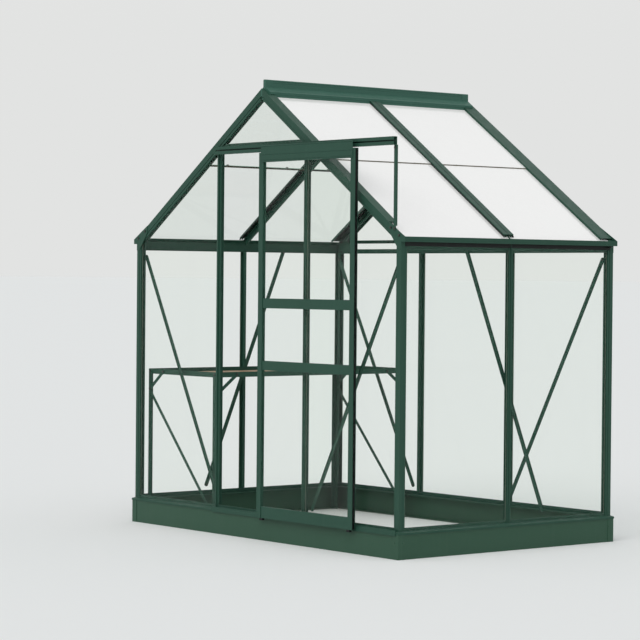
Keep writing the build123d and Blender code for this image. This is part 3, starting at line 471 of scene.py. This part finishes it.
# Braces: trays pressed from aluminium strip with rounded ends, their lips outwards, bolted
# across the inner edges of posts and bars.


def tray(shape, start, end, width, depth, out):
    """A pressed tray from start to end: a floor with a lip all round it."""
    start, end = Vector(start), Vector(end)
    run = (end - start).normalized()
    sideways = out.cross(run)
    thick, bends = 1.4, 8
    rings = []
    for radius, level in ((width / 2, 0), (width / 2, -depth), (width / 2 - thick, 0),
                          (width / 2 - thick, thick - depth)):
        ring = []
        for centre, turn in ((end, -pi / 2), (start, pi / 2)):
            for step in range(bends + 1):
                angle = turn + pi * step / bends
                spot = centre + radius * (cos(angle) * run + sin(angle) * sideways) + level * out
                ring.append(shape.verts.new(spot / 1000))
        rings.append(ring)
    lip, heel, inner, floor = rings
    sides = len(lip)
    for low, high in ((lip, heel), (inner, lip), (floor, inner)):
        for i in range(sides):
            j = (i + 1) % sides
            shape.faces.new((low[i], low[j], high[j], high[i]))
    shape.faces.new(heel)
    shape.faces.new(floor)


shape = bmesh.new()
for side in (-1, 1):
    for end in (-1, 1):
        (high_x, high_z), (low_x, low_z) = gable_brace_ends
        face = end * (half_length - brace_lip)
        tray(shape, (side * high_x, face, high_z), (side * low_x, face, low_z),
             brace_width, brace_depth, end * back)
fit("gable_brace_trays", shape, [coated_aluminium], "frame", "frame_metal", "gable_braces")
shape = bmesh.new()
for side in (-1, 1):
    (high_y, high_z), (low_y, low_z) = side_brace_ends
    face = side * (half_width - brace_lip)
    tray(shape, (face, side * high_y, high_z), (face, side * low_y, low_z),
         brace_width, brace_depth, side * across)
fit("side_brace_trays", shape, [coated_aluminium], "frame", "frame_metal", "side_braces")


# Wall glass: 3 mm horticultural float glass, clear with a faint green tint and green seamed
# edges. Each pane stands on the sill and lies on the seats of its bars.


def sheet_glass(name, tint, dust, gloss, power, painted_sky=0.0, rough=0.02):
    """Thin sheet glass: see-through, glossier at a flat angle, with a little dust.

    Given a painted sky share, it is the outer side of a roof: white matt colour that grows at a
    flat angle is a painted reflection of the sky, seen from the outside only.
    """
    made, tree, shader, place = new_finish(name)
    tree.nodes.remove(shader)
    base_gloss, most_gloss, most_painted_sky, haze_behind = 0.003, 0.985, 0.9, 0.01
    through = add(tree, "ShaderNodeBsdfTransparent", {"Color": linear(tint)})
    # Float glass is nearly flat, its waves are about 200 mm long
    waves = add(tree, "ShaderNodeTexNoise", {"Vector": place, "Scale": 1 / 0.2, "Detail": 1.0})
    bump = add(tree, "ShaderNodeBump", {"Height": waves.outputs["Fac"], "Distance": 0.001,
                                        "Strength": 0.2})
    mirror = add(tree, "ShaderNodeBsdfGlossy", {"Color": linear("#ffffff"), "Roughness": rough,
                                                "Normal": bump.outputs[0]})
    flat = add(tree, "ShaderNodeLayerWeight", {"Blend": 0.5}).outputs["Facing"]
    curve = add(tree, "ShaderNodeMath", {0: flat, 1: power}, operation="POWER")
    share = add(tree, "ShaderNodeMath", {0: curve.outputs[0], 1: gloss, 2: base_gloss},
                operation="MULTIPLY_ADD")
    limit = add(tree, "ShaderNodeMath", {0: share.outputs[0], 1: most_gloss}, operation="MINIMUM")
    if painted_sky:
        behind = add(tree, "ShaderNodeNewGeometry").outputs["Backfacing"]
        limit = add(tree, "ShaderNodeMix", {0: behind, 2: limit.outputs[0], 3: base_gloss})
    clear = add(tree, "ShaderNodeMixShader", {0: limit.outputs[0], 1: through.outputs[0],
                                              2: mirror.outputs[0]})
    # Dust and dried rain spots, 8 mm blots in patches of 150 mm
    spots = add(tree, "ShaderNodeTexNoise", {"Vector": place, "Scale": 1 / 0.008, "Detail": 6.0})
    areas = add(tree, "ShaderNodeTexNoise", {"Vector": place, "Scale": 1 / 0.15, "Detail": 4.0})
    both = add(tree, "ShaderNodeMath", {0: spots.outputs["Fac"], 1: areas.outputs["Fac"]},
               operation="MULTIPLY")
    hazy = add(tree, "ShaderNodeMath", {0: both.outputs[0], 1: 4 * dust}, operation="MULTIPLY")
    if painted_sky:
        # Painted reflection of the sky: a white matt share that grows at a flat angle, outside only
        slant = add(tree, "ShaderNodeMath", {0: flat, 1: 1.5}, operation="POWER")
        dull = add(tree, "ShaderNodeMath", {0: slant.outputs[0], 1: painted_sky, 2: hazy.outputs[0]},
                   operation="MULTIPLY_ADD")
        dull = add(tree, "ShaderNodeMath", {0: dull.outputs[0], 1: most_painted_sky}, operation="MINIMUM")
        hazy = add(tree, "ShaderNodeMix", {0: behind, 2: dull.outputs[0], 3: haze_behind})
    # Matt white for the dust, and on a roof also for the painted sky reflection
    dust_and_sky_white = add(tree, "ShaderNodeBsdfDiffuse", {"Color": linear("#f8f6f3")})
    sheet = add(tree, "ShaderNodeMixShader", {0: hazy.outputs[0], 1: clear.outputs[0],
                                              2: dust_and_sky_white.outputs[0]})
    tree.links.new(sheet.outputs[0], tree.nodes["Material Output"].inputs["Surface"])
    return made


# The panes are nearly invisible from in front and mirror the surroundings at a flat angle
wall_glass = sheet_glass("clear float glass", "#fefffe", dust=0.002, gloss=0.35, power=5.0)

# Cut edges of the panes look green, because the eye sees along the sheet there
cut_edge, tree, shader, place = new_finish("seamed glass edge")
chips = add(tree, "ShaderNodeTexNoise", {"Vector": place, "Scale": 1 / 0.004, "Detail": 4.0})
tone = add(tree, "ShaderNodeMix",
           {0: chips.outputs["Fac"], 6: linear("#5e8a76"), 7: linear("#9dbfae")}, data_type="RGBA")
tree.links.new(tone.outputs[2], shader.inputs["Base Color"])
shader.inputs["Roughness"].default_value = 0.25
seat_gap, seam_width = 0.15, 0.4


def glaze(name, node, through, body):
    """Panes with seamed edges in a node's place; `through` is the direction through the glass."""
    shape = bmesh.new()
    shape.from_mesh(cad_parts[node].data)
    bmesh.ops.remove_doubles(shape, verts=shape.verts, dist=1e-6)
    bmesh.ops.dissolve_limit(shape, angle_limit=radians(1), verts=shape.verts, edges=shape.edges)
    # The panes stand clear of their seats by a small gap on every side
    shape.normal_update()
    moves = [corner.normal * corner.calc_shell_factor() * seat_gap / 1000 for corner in shape.verts]
    for corner, move in zip(shape.verts, moves):
        corner.co -= move
    bmesh.ops.bevel(shape, geom=shape.edges, offset=seam_width / 1000, segments=1,
                    affect="EDGES")
    for face in shape.faces:
        face.material_index = 0 if abs(face.normal.dot(through)) > 0.9 else 1
        face.smooth = False
    fit(name, shape, [wall_glass, cut_edge], body, "clear_glass", node)


glaze("panes_front", "glass_front", back, "frame")
glaze("panes_back", "glass_back", back, "frame")
glaze("panes_left", "glass_left", across, "frame")
glaze("panes_right", "glass_right", across, "frame")

# Roof glass: two lapped panes in each bay. The upper pane's foot rides 3 mm over the lower one,
# on two S-shaped clips of springy aluminium strip, which are hooked over the panes' edges.
# Outside, a little dust, the mirrored sky and a painted reflection of the sky, white matt colour
# that grows at a flat angle, turn the sheets nearly white. Inside they stay clear.
roof_outside = sheet_glass("roof glass, sky side", "#f8fbfa", dust=0.03, gloss=3.4, power=2.2,
                           painted_sky=1.5, rough=0.15)
roof_inside = sheet_glass("roof glass, inner side", "#fdfefd", dust=0.004, gloss=0.7, power=5.0)
slope_length, eaves_overhang, ridge_gap = 1170.8, 8.0, 8.0
lap_low, lap_high, lap_lift = 608.0, 620.0, 3.3
pane_ends = (3.0, 608.5)
glass_top, glass_under = -0.1, -2.85
for side, word in ((-1, "left"), (1, "right")):
    foot, rising, outward = slope_frame(side)
    shape = bmesh.new()
    for bay in (-1, 1):
        for low, high, low_lift in ((-eaves_overhang, lap_high, 0.0),
                                    (lap_low, slope_length - ridge_gap, lap_lift)):
            corners = []
            for reach, lift in ((low, low_lift), (high, 0.0)):
                for y in pane_ends:
                    for depth in (glass_top, glass_under):
                        place = foot + reach * rising + bay * y * back + (lift + depth) * outward
                        corners.append(shape.verts.new(place / 1000))
            a, b, c, d, e, f, g, h = corners
            # The sky side, the inner side and the four edges
            for face, finish in (((a, c, g, e), 0), ((b, f, h, d), 1), ((a, b, d, c), 2),
                                 ((e, g, h, f), 2), ((a, e, f, b), 2), ((c, d, h, g), 2)):
                shape.faces.new(face).material_index = finish
    fit("roof_panes_" + word, shape, [roof_outside, roof_inside, cut_edge], "frame",
        "clear_glass", "roof_glass_" + word)

# The strip has kept a soft metal glint, and is 0.8 mm thick
clip_metal = bare_metal("springy aluminium strip", "#8f928c", "#6d706a", rough=0.4, grain_mm=1.5)
hook = [(-9.0, 4.4), (-9.8, 4.4), (-9.8, -0.1), (9.0, -0.1), (9.0, -3.6), (-2.0, -3.6),
        (-2.0, -4.4), (9.8, -4.4), (9.8, 0.7), (-9.0, 0.7)]
clip_half, clip_reach, clip_places = 5, lap_low + 8, (-478, -126, 126, 478)
shape = bmesh.new()
extrusion(shape, hook, (0, -clip_half, 0), (0, clip_half, 0), across, up)
spots = []
for side in (-1, 1):
    foot, rising, outward = slope_frame(side)
    spots += [(foot + clip_reach * rising + y * back, outward, rising) for y in clip_places]
repeated("lap_clips", solid("clip", shape), spots, clip_metal, "frame")

# Dirt in the laps: rain leaves dirt and algae between the two panes, where no brush reaches. It
# shows as a matt brown line under the upper pane's foot.
lap_dirt = weathered_skin("dirt and algae in the laps", "#6f655b", "#5d5a4c", dust=0.1, peel=2.0)
dirt = [(-4.5, 0.05), (8.0, 0.05), (8.0, 0.3), (-0.2, 0.4), (-0.2, 3.1), (-2.4, 2.8)]
shape = bmesh.new()
for side in (-1, 1):
    foot, rising, outward = slope_frame(side)
    for bay in (-1, 1):
        near, far = (foot + lap_low * rising + bay * end * back for end in pane_ends)
        extrusion(shape, dirt, near, far, rising, outward)
fit("lap_dirt", shape, [lap_dirt], "frame", "clear_glass")

# Glazing strips and beads: flexible PVC cushions the wall panes on the seats of their bars, its
# edge chalked a flat grey by the weather. Green aluminium beads, pressed on outside, hold the
# panes down.
chalked_pvc = weathered_skin("chalked PVC strip", "#5c6a5c", "#6c776a", dust=0.2, peel=2.0)
strip = [(0.0, -2.4), (2.0, -1.8), (2.0, -0.2), (0.0, -0.2)]
bead_foot, bead_face, bead_slope = 3.05, 4.7, 0.8
bar_bead, post_bead = ([(-far, bead_foot), (-near, bead_foot), (-near - bead_slope, bead_face),
                        (-far + bead_slope, bead_face)] for near, far in ((1.4, 9.8), (2.6, 15.0)))
flange_edge, seat_depth = 13.0, 6.0
strip_low, strip_high = 132.0, 1299.0
bead_low, bead_high = 119.5, 1311.0
# On the gables they end under the rafters' lower edge
gable_lift, slope_lift, apex_gap = -34, -33, 4
inner_face, inner_gable = half_width - seat_depth, half_length - seat_depth
shape, beads = bmesh.new(), bmesh.new()
for side in (-1, 1):
    for bay in (-1, 1):
        for y, inward, bead in ((bay * flange_edge, bay, bar_bead),
                                (bay * (half_length - post_width), -bay, post_bead)):
            for target, outline, low, high in ((shape, strip, strip_low, strip_high),
                                               (beads, bead, bead_low, bead_high)):
                extrusion(target, outline, (side * inner_face, y, low),
                          (side * inner_face, y, high), inward * back, side * across)
bar_x = 317.0
for end in (-1, 1):
    gable, gable_y = end * back, end * inner_gable
    for side in (-1, 1):
        edges = [(bar_x + flange_edge, 1, bar_bead), (half_width - post_width, -1, post_bead)]
        if end == 1:
            edges.append((bar_x - flange_edge, -1, bar_bead))
        for x, inward, bead in edges:
            high_end = (side * x, gable_y, roof_height(x, gable_lift))
            for target, outline, low in ((shape, strip, strip_low), (beads, bead, bead_low)):
                extrusion(target, outline, (side * x, gable_y, low), high_end,
                          side * inward * across, gable)
        foot, rising, outward = slope_frame(side)
        for low_x, high_x in ((half_width - post_width, bar_x + flange_edge),
                              (bar_x - flange_edge, apex_gap)):
            low_end, high_end = (Vector((side * x, gable_y, roof_height(x, slope_lift)))
                                 for x in (low_x, high_x))
            extrusion(beads, post_bead, low_end, high_end, -outward, gable)
fit("glazing_strips", shape, [chalked_pvc], "frame", "frame_metal")
fit("glazing_beads", beads, [coated_aluminium], "frame", "frame_metal")

# Painted shade: black rubber strips, matt and dusty, between the roof glass and the rims of covers
# and caps, in the groove down the middle of each cap, and along the heads of the side panes under
# the gutters. Their black stands in for the shade in these gaps and hollows.
painted_shade_black = weathered_skin("black EPDM rubber, painted shade", "#101413", "#171c1a", dust=0.15, peel=2.0)
cap_low, cap_groove_low, cover_low, shade_strip_top = 21.0, 13.0, 103.5, slope_length - 5
cover_rim_y, shade_strip_foot = 585, 0.2
cap_rim_shade = oblong(25.6, shade_strip_foot, 27.9, 6.6)
cover_rim_shade = [(0.0, shade_strip_foot), (2.2, shade_strip_foot), (1.4, 4.0), (0.0, 4.0)]
cap_groove_shade = [(-1.6, 12.0), (1.6, 12.0), (0.9, 12.7), (-0.9, 12.7)]
pane_head_shade = [(bead_foot, 1312.5), (5.3, 1315.0), (5.3, 1329.8), (bead_foot, 1329.8)]
pane_near, pane_far = 2.0, 608.0
shape = bmesh.new()
for side in (-1, 1):
    foot, rising, outward = slope_frame(side)
    high_end = foot + shade_strip_top * rising
    for flank in (-1, 1):
        rim = flank * cover_rim_y * back
        extrusion(shape, cap_rim_shade, foot + cap_low * rising, high_end, flank * back, outward)
        extrusion(shape, cover_rim_shade, foot + cover_low * rising + rim, high_end + rim,
                  -flank * back, outward)
    extrusion(shape, cap_groove_shade, foot + cap_groove_low * rising, high_end, back, outward)
    for low_y, high_y in ((-pane_far, -pane_near), (pane_near, pane_far)):
        extrusion(shape, pane_head_shade, (side * inner_face, low_y, 0), (side * inner_face, high_y, 0),
                  side * across, up)
fit("roof_seals", shape, [painted_shade_black], "frame", "black_nylon")

# Gutter outlets: moulded nylon spouts pushed up through the gutter floors at the rear, open below
# for a downpipe. Their deep black with a satin skin is painted shade, for the dark hollow under the
# gutter over the rear posts. The same black nylon serves the door's rollers and shoes.
black_nylon = weathered_skin("moulded black nylon", "#121415", "#191c1d", dust=0.2)
outlet_x, outlet_y, spout_wall, spout_depth = 977, 596, 1.6, 6.0
spout = stack((16, 8.4, 8.4, -9.0, -1.5), (16, 10.5, 10.5, -1.5, 0.0))
mouth = min(spout.faces, key=lambda face: face.calc_center_median().z)
bmesh.ops.inset_region(spout, faces=[mouth], thickness=spout_wall / 1000)
bmesh.ops.translate(spout, verts=mouth.verts, vec=(0, 0, spout_depth / 1000))
spots = [((side * outlet_x, outlet_y, gutter_floor), up, across) for side in (-1, 1)]
repeated("gutter_outlets", solid("outlet", spout), spots, black_nylon, "frame")

# Door track, its support and the foot guide: a slotted channel of coated aluminium bolted across
# the gable, held at its free end by a strut from the eaves plate.
dress(coated_aluminium, "door_track", "track_support", "door_guide")

# Sliding door: aluminium stiles and rails, screwed together at the corners around three panes,
# with a pressed header plate over two rails. Nylon rollers carry it in the track, and nylon shoes
# keep its foot behind the guide.
dress(coated_aluminium, "door_stiles", "door_rail_lower", "door_rail_upper", "door_foot_rail")
header_foot, header_top, header_face, header_back = 1688.1, 1762.1, -670.5, -668.0
header_ends, rail_ends, rail_faces = (51, 689), (66, 674), (header_back, -657.5)
header_plate = [(header_back, header_foot), (header_face, header_foot)]
for low, high, depth in ((5.0, 9.0, 1.3), (30.0, 33.5, 1.0), (67.0, 70.0, 1.0)):
    header_plate += grooved(header_face, header_foot + low, header_foot + high, -depth, 0.7)
header_plate += [(header_face, header_top - 1), (header_face + 1, header_top),
                 (header_back, header_top)]
shape = bmesh.new()
left_end, right_end = (x * across for x in header_ends)
extrusion(shape, header_plate, left_end, right_end, back, up)
for rail_y in rail_faces:
    left_end, right_end = (Vector((x, rail_y, header_foot)) for x in rail_ends)
    extrusion(shape, oblong(0, 0, 7.5, 16), left_end, right_end, back, up)
fit("door_header_pressing", shape, [coated_aluminium], "door", "frame_metal", "door_header")
dress(black_nylon, "door_rollers", "door_shoes")
glaze("door_panes", "door_glass", back, "door")

# Draught strips: polypropylene brush in the open channels of both stiles. The dull black bristles
# stand 6 mm out of a folded backing, and are drawn as coarse tufts so that they show.
black_fibre = weathered_skin("black polypropylene fibre", "#0c0e0e", "#141616", dust=0.1, peel=1.0)
door_left, door_right, door_glass_y = 36.0, 704.0, -659.0
stile_foot, stile_top = 104.0, 1730.0
backing, backing_gap = oblong(5.2, -6.2, 7.8, 6.2), 2
tuft_reach, tuft_gap, tuft_pitch, tuft_rows = 5.3, 5, 4.4, (-3.4, 0.0, 3.4)
shape = bmesh.new()
for edge, inward in ((door_left, 1), (door_right, -1)):
    extrusion(shape, backing, (edge, door_glass_y, stile_foot + backing_gap),
              (edge, door_glass_y, stile_top - backing_gap), inward * across, back)
fit("brush_backing", shape, [black_fibre], "door", "black_nylon")
tufts_high = int((stile_top - stile_foot - 8) / tuft_pitch)
tufts_foot = stile_foot + tuft_gap
spots = [((edge - tuft_reach * outward.x, door_glass_y + y, tufts_foot + tuft_pitch * row),
          outward, up)
         for edge, outward in ((door_left, -across), (door_right, across))
         for row in range(tufts_high) for y in tuft_rows]
repeated("brush_bristles", solid("tuft", stack((5, 2.4, 2.0, 0, 5.8))), spots, black_fibre,
         "door", spare_turn=1.5, seed=9)

# Staging: a coated angle frame on four legs with diagonals, bolted together. Its eight slats are
# ribbed aluminium, taken as uncoated, in the warm tan that the photo shows between the pots. The
# tan is a painted reflection of warm brown surroundings on the bare metal.
dress(coated_aluminium, "staging_frame", "staging_legs", "staging_braces", "staging_knees")
# The slats' tan base colour is a painted reflection of warm brown surroundings
slat_aluminium_tan_reflection = bare_metal("mill-finish aluminium, painted warm reflection", "#b59d84", "#a58c72", rough=0.45, grain_mm=1.5)
slat_width, slat_pitch, slat_top, slat_floor, rib_count = 51.25, 65.25, 4.0, 2.2, 6
slat_half, slats_middle, slats_foot, slat_count = 576, -661, 713, 8
section = [(-slat_width / 2, 0.0), (-slat_width / 2, slat_floor)]
for i in range(rib_count):
    middle = (i - (rib_count - 1) / 2) * slat_width / rib_count
    section += [(middle - 3.6, slat_floor), (middle - 2.4, slat_top), (middle + 2.4, slat_top),
                (middle + 3.6, slat_floor)]
section += [(slat_width / 2, slat_floor), (slat_width / 2, 0.0)]
shape = bmesh.new()
extrusion(shape, section, (0, -slat_half, 0), (0, slat_half, 0), across, up)
spots = [((slats_middle + (i - (slat_count - 1) / 2) * slat_pitch, 0, slats_foot), up, across)
         for i in range(slat_count)]
slats = repeated("ribbed_slats", solid("slat", shape), spots, slat_aluminium_tan_reflection, "frame")
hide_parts("staging_slats")

# Studio: a matt pale floor without an edge in view, and a pale surround that gives even light.
# One broad soft lamp adds the shadows.
floor_reach = 1500.0
floor_shape = bmesh.new()
bmesh.ops.create_grid(floor_shape, x_segments=1, y_segments=1, size=floor_reach)
floor_mesh = bpy.data.meshes.new("studio_floor")
floor_shape.to_mesh(floor_mesh)
floor_shape.free()
floor = bpy.data.objects.new("studio_floor", floor_mesh)
bpy.context.scene.collection.objects.link(floor)
floor_paint = bpy.data.materials.new("pale floor paint")
floor_paint.use_nodes = True
tree = floor_paint.node_tree
tree.nodes.clear()
matt = add(tree, "ShaderNodeBsdfDiffuse", {"Color": linear("#efefed")})
add(tree, "ShaderNodeOutputMaterial", {"Surface": matt.outputs[0]})
floor_mesh.materials.append(floor_paint)

surround = bpy.data.worlds.new("studio")
surround.use_nodes = True
bpy.context.scene.world = surround
tree = surround.node_tree
tree.nodes.clear()
# The eye, mirrors and glass see the backdrop. All else is lit by the softer sky.
ray = add(tree, "ShaderNodeLightPath").outputs
seen = add(tree, "ShaderNodeMath", {0: ray["Is Camera Ray"], 1: ray["Is Glossy Ray"]},
           operation="MAXIMUM")
seen = add(tree, "ShaderNodeMath", {0: seen.outputs[0], 1: ray["Is Transmission Ray"]},
           operation="MAXIMUM")
# The backdrop meets the floor at the floor's own lit colour and turns white overhead
direction = add(tree, "ShaderNodeTexCoord").outputs["Generated"]
level = add(tree, "ShaderNodeSeparateXYZ", {0: direction}).outputs["Z"]
rise = add(tree, "ShaderNodeMapRange", {"Value": level, "From Min": 0.1, "From Max": 0.5})
wash = add(tree, "ShaderNodeMix",
           {0: rise.outputs[0], 6: linear("#e2e3e2"), 7: linear("#f2f2f3")}, data_type="RGBA")
sky = add(tree, "ShaderNodeBackground", {"Color": linear("#e8ecef"), "Strength": 0.7})
backdrop = add(tree, "ShaderNodeBackground", {"Color": wash.outputs[2], "Strength": 1.0})
both = add(tree, "ShaderNodeMixShader",
           {0: seen.outputs[0], 1: sky.outputs[0], 2: backdrop.outputs[0]})
add(tree, "ShaderNodeOutputWorld", {"Surface": both.outputs[0]})

sun = bpy.data.lights.new("window_light", "SUN")
sun.energy = 1.3
sun.angle = radians(50)
sun_stand = bpy.data.objects.new("window_light", sun)
sun_stand.rotation_euler = (radians(42), 0, radians(28))
# The lamp itself isn't mirrored in the glass, where it would burn out whole panes
sun_stand.visible_glossy = False
bpy.context.scene.collection.objects.link(sun_stand)

# Camera: it stands where the photograph was taken, with the turn and the lens that were solved
# from the photograph's edges.
view = bpy.data.cameras.new("photograph_view")
view.sensor_width = 36.0
view.lens = 136.18
view.shift_x = -0.0015
view.shift_y = -0.0032
view.clip_end = 5000.0
yaw, pitch, roll = radians(50.96), radians(-0.954), radians(0.513)
turn = (Matrix.Rotation(yaw, 4, "Z") @ Matrix.Rotation(pi / 2 + pitch, 4, "X")
        @ Matrix.Rotation(roll, 4, "Z"))
camera_place = (8.5983, -7.2487, 1.1771)
camera = bpy.data.objects.new("photograph_view", view)
camera.matrix_world = Matrix.Translation(camera_place) @ turn
bpy.context.scene.collection.objects.link(camera)
bpy.context.scene.camera = camera
bpy.context.scene.view_settings.view_transform = "Standard"
